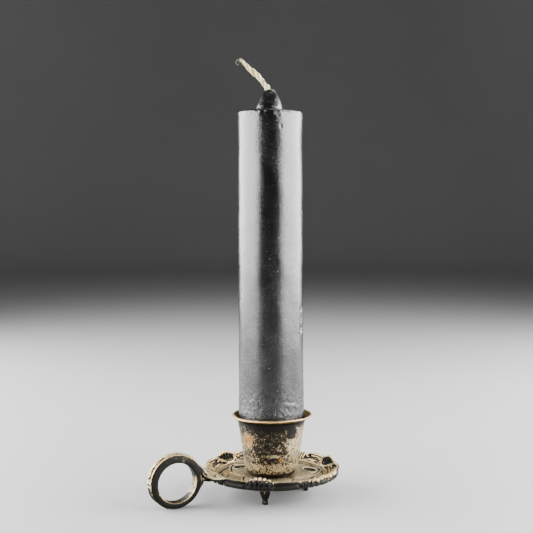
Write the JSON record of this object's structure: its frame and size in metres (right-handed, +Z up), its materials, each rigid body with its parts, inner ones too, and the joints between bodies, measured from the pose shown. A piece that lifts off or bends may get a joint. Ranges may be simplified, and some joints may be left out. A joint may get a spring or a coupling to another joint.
{
  "type": "pillar candle holder",
  "caption": "Chamber candlestick with a footed drip pan, scroll and shell border, flared socket cup and finger ring, holding a pillar candle with a braided wick.",
  "frame": {"origin": "middle of the footprint, on the surface that the feet stand on", "axes": "+Z up along the candle, -X towards the finger ring, +Y to the back"},
  "size_m": [0.1156, 0.079, 0.2539],
  "materials": {
    "plated_brass": "worn silver plate over brass, dark tarnish in the recesses",
    "steel": "dull, darkened",
    "wax": "satin-gloss black wax",
    "cotton": "braided unburnt wick"
  },
  "bodies": {
    "holder": {"drip_pan": "plated_brass", "rim_border": "plated_brass", "socket_cup": "plated_brass", "socket_screw": "steel", "socket_washer": "steel", "socket_nut": "steel", "ring_handle": "plated_brass", "foot_right": "plated_brass", "foot_back": "plated_brass", "foot_front": "plated_brass"},
    "candle": {"candle": "wax", "wick": "cotton"}
  },
  "joints": [
    {"name": "candle_lift", "type": "slide", "parent": "holder", "child": "candle", "axis": [0, 0, 1], "range_m": [0, 0.06]}
  ]
}
